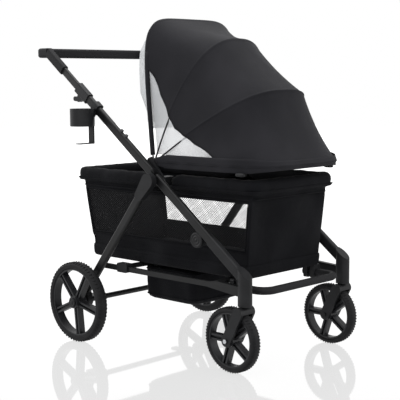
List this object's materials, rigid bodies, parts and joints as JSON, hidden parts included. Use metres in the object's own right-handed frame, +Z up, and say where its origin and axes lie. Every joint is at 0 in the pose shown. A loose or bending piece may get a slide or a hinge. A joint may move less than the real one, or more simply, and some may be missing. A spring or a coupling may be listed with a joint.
{
  "type": "pet stroller",
  "caption": "Folding pet stroller with four wheels, swivelling front casters, mesh-sided fabric cabin, folding canopy, foam handle and cup holder.",
  "frame": {"origin": "centre of the overall footprint, on the floor", "axes": "+X forward, +Y to the pusher's left, +Z up"},
  "size_m": [1.0578, 0.698, 1.112],
  "materials": {
    "frame_tube": "satin dark charcoal enamel",
    "inner_tube": "satin charcoal enamel",
    "rail": "satin dark charcoal enamel",
    "wire": "dark coated rod",
    "joint_plastic": "moulded dark plastic",
    "stud": "pale moulded button",
    "grip": "matt foam sleeve",
    "tyre": "solid foam tyre",
    "wheel_rim": "moulded grey rim",
    "canopy_fabric": "woven polyester, charcoal",
    "basket_fabric": "woven polyester, near black",
    "bag_fabric": "woven polyester, near black",
    "window_net": "dark open net",
    "canopy_mesh": "pale fine mesh",
    "board": "covered board"
  },
  "bodies": {
    "chassis": {"front_leg_right": "frame_tube", "front_leg_left": "frame_tube", "main_joint_right": "joint_plastic", "main_joint_left": "joint_plastic", "caster_housing_right": "joint_plastic", "caster_housing_left": "joint_plastic", "side_rail_right": "rail", "side_rail_left": "rail", "rail_clamp_right": "joint_plastic", "rail_clamp_left": "joint_plastic", "window_right": "window_net", "window_left": "window_net", "rear_cross_tube": "frame_tube", "front_cross_tube": "frame_tube", "bumper": "grip", "bumper_clamps": "joint_plastic", "fold_bosses": "joint_plastic", "basket_shell": "basket_fabric", "floor_board": "board", "rim_tube": "wire", "rim_roll_front": "basket_fabric", "rim_roll_rear": "basket_fabric", "under_bag": "bag_fabric"},
    "handle_frame": {"upper_tube_right": "frame_tube", "upper_tube_left": "frame_tube", "collar_right": "joint_plastic", "collar_left": "joint_plastic", "tube_studs": "stud", "cup_clip": "joint_plastic"},
    "handle_slide": {"inner_tube_right": "inner_tube", "inner_tube_left": "inner_tube", "handle_bar": "grip"},
    "lock_lever_right": {"lock_lever_right": "joint_plastic"},
    "lock_lever_left": {"lock_lever_left": "joint_plastic"},
    "cup_holder": {"cup_holder": "joint_plastic"},
    "rear_frame": {"rear_leg_right": "frame_tube", "rear_leg_left": "frame_tube", "rear_knuckle_right": "joint_plastic", "rear_knuckle_left": "joint_plastic", "axle_bracket_right": "joint_plastic", "axle_bracket_left": "joint_plastic", "rear_axle": "frame_tube"},
    "rear_wheel_right": {"rear_rim_right": "wheel_rim", "rear_tyre_right": "tyre"},
    "rear_wheel_left": {"rear_rim_left": "wheel_rim", "rear_tyre_left": "tyre"},
    "brake_right": {"brake_pedal_right": "joint_plastic"},
    "brake_left": {"brake_pedal_left": "joint_plastic"},
    "caster_right": {"fork_right": "joint_plastic"},
    "caster_left": {"fork_left": "joint_plastic"},
    "front_wheel_right": {"front_rim_right": "wheel_rim", "front_tyre_right": "tyre"},
    "front_wheel_left": {"front_rim_left": "wheel_rim", "front_tyre_left": "tyre"},
    "canopy_back": {"bow_rear": "wire", "canopy_cover": "canopy_fabric", "rear_screen": "canopy_mesh"},
    "canopy_mid_rear": {"bow_mid_rear": "wire"},
    "canopy_mid_front": {"bow_mid_front": "wire"},
    "canopy_front": {"bow_front": "wire"}
  },
  "joints": [
    {"name": "handle_fold", "type": "hinge", "parent": "chassis", "child": "handle_frame", "pos_m": [0.06922, 0, 0.603], "axis": [0, 1, 0], "range_deg": [0, 108]},
    {"name": "handle_slide", "type": "slide", "parent": "handle_frame", "child": "handle_slide", "axis": [-0.7976, 0, 0.6032], "range_m": [-0.085, 0]},
    {"name": "rear_fold", "type": "hinge", "parent": "chassis", "child": "rear_frame", "pos_m": [0.08322, 0, 0.58], "axis": [0, -1, 0], "range_deg": [0, 50]},
    {"name": "cup_holder_turn", "type": "hinge", "parent": "handle_frame", "child": "cup_holder", "pos_m": [-0.21278, -0.2645, 0.79], "axis": [0, 1, 0], "range_deg": [-30, 40]},
    {"name": "canopy_tilt", "type": "hinge", "parent": "chassis", "child": "canopy_back", "pos_m": [0.04722, 0, 0.64], "axis": [0, -1, 0], "range_deg": [0, 60]},
    {"name": "canopy_fold", "type": "hinge", "parent": "canopy_back", "child": "canopy_front", "pos_m": [0.04722, 0, 0.64], "axis": [0, -1, 0], "range_deg": [0, 84], "deforming": ["canopy_cover"]},
    {"name": "canopy_mid_front_turn", "type": "hinge", "parent": "canopy_back", "child": "canopy_mid_front", "pos_m": [0.04722, 0, 0.64], "axis": [0, -1, 0], "range_deg": [0, 57]},
    {"name": "canopy_mid_rear_turn", "type": "hinge", "parent": "canopy_back", "child": "canopy_mid_rear", "pos_m": [0.04722, 0, 0.64], "axis": [0, -1, 0], "range_deg": [0, 26]},
    {"name": "lock_lever_right_press", "type": "hinge", "parent": "handle_frame", "child": "lock_lever_right", "pos_m": [-0.29503, -0.25, 0.84086], "axis": [0, 1, 0], "range_deg": [0, 15], "stiffness_Nm_per_rad": 0.05, "springref_deg": -17.19},
    {"name": "rear_wheel_right_spin", "type": "hinge", "parent": "rear_frame", "child": "rear_wheel_right", "pos_m": [-0.24278, -0.3205, 0.14], "axis": [0, 1, 0], "continuous": true},
    {"name": "brake_right_press", "type": "hinge", "parent": "rear_frame", "child": "brake_right", "pos_m": [-0.24278, -0.216, 0.14], "axis": [0, -1, 0], "range_deg": [0, 15]},
    {"name": "caster_right_swivel", "type": "hinge", "parent": "chassis", "child": "caster_right", "pos_m": [0.47322, -0.25, 0.2], "axis": [0, 0, 1], "continuous": true},
    {"name": "front_wheel_right_spin", "type": "hinge", "parent": "caster_right", "child": "front_wheel_right", "pos_m": [0.42122, -0.25, 0.104], "axis": [0, 1, 0], "continuous": true},
    {"name": "lock_lever_left_press", "type": "hinge", "parent": "handle_frame", "child": "lock_lever_left", "pos_m": [-0.29503, 0.25, 0.84086], "axis": [0, 1, 0], "range_deg": [0, 15], "stiffness_Nm_per_rad": 0.05, "springref_deg": -17.19},
    {"name": "rear_wheel_left_spin", "type": "hinge", "parent": "rear_frame", "child": "rear_wheel_left", "pos_m": [-0.24278, 0.3205, 0.14], "axis": [0, 1, 0], "continuous": true},
    {"name": "brake_left_press", "type": "hinge", "parent": "rear_frame", "child": "brake_left", "pos_m": [-0.24278, 0.216, 0.14], "axis": [0, -1, 0], "range_deg": [0, 15]},
    {"name": "caster_left_swivel", "type": "hinge", "parent": "chassis", "child": "caster_left", "pos_m": [0.47322, 0.25, 0.2], "axis": [0, 0, 1], "continuous": true},
    {"name": "front_wheel_left_spin", "type": "hinge", "parent": "caster_left", "child": "front_wheel_left", "pos_m": [0.42122, 0.25, 0.104], "axis": [0, 1, 0], "continuous": true}
  ],
  "couplings": [
    {"joint": "canopy_mid_front_turn", "follows": "canopy_fold", "ratio": 0.67},
    {"joint": "canopy_mid_rear_turn", "follows": "canopy_fold", "ratio": 0.3}
  ]
}
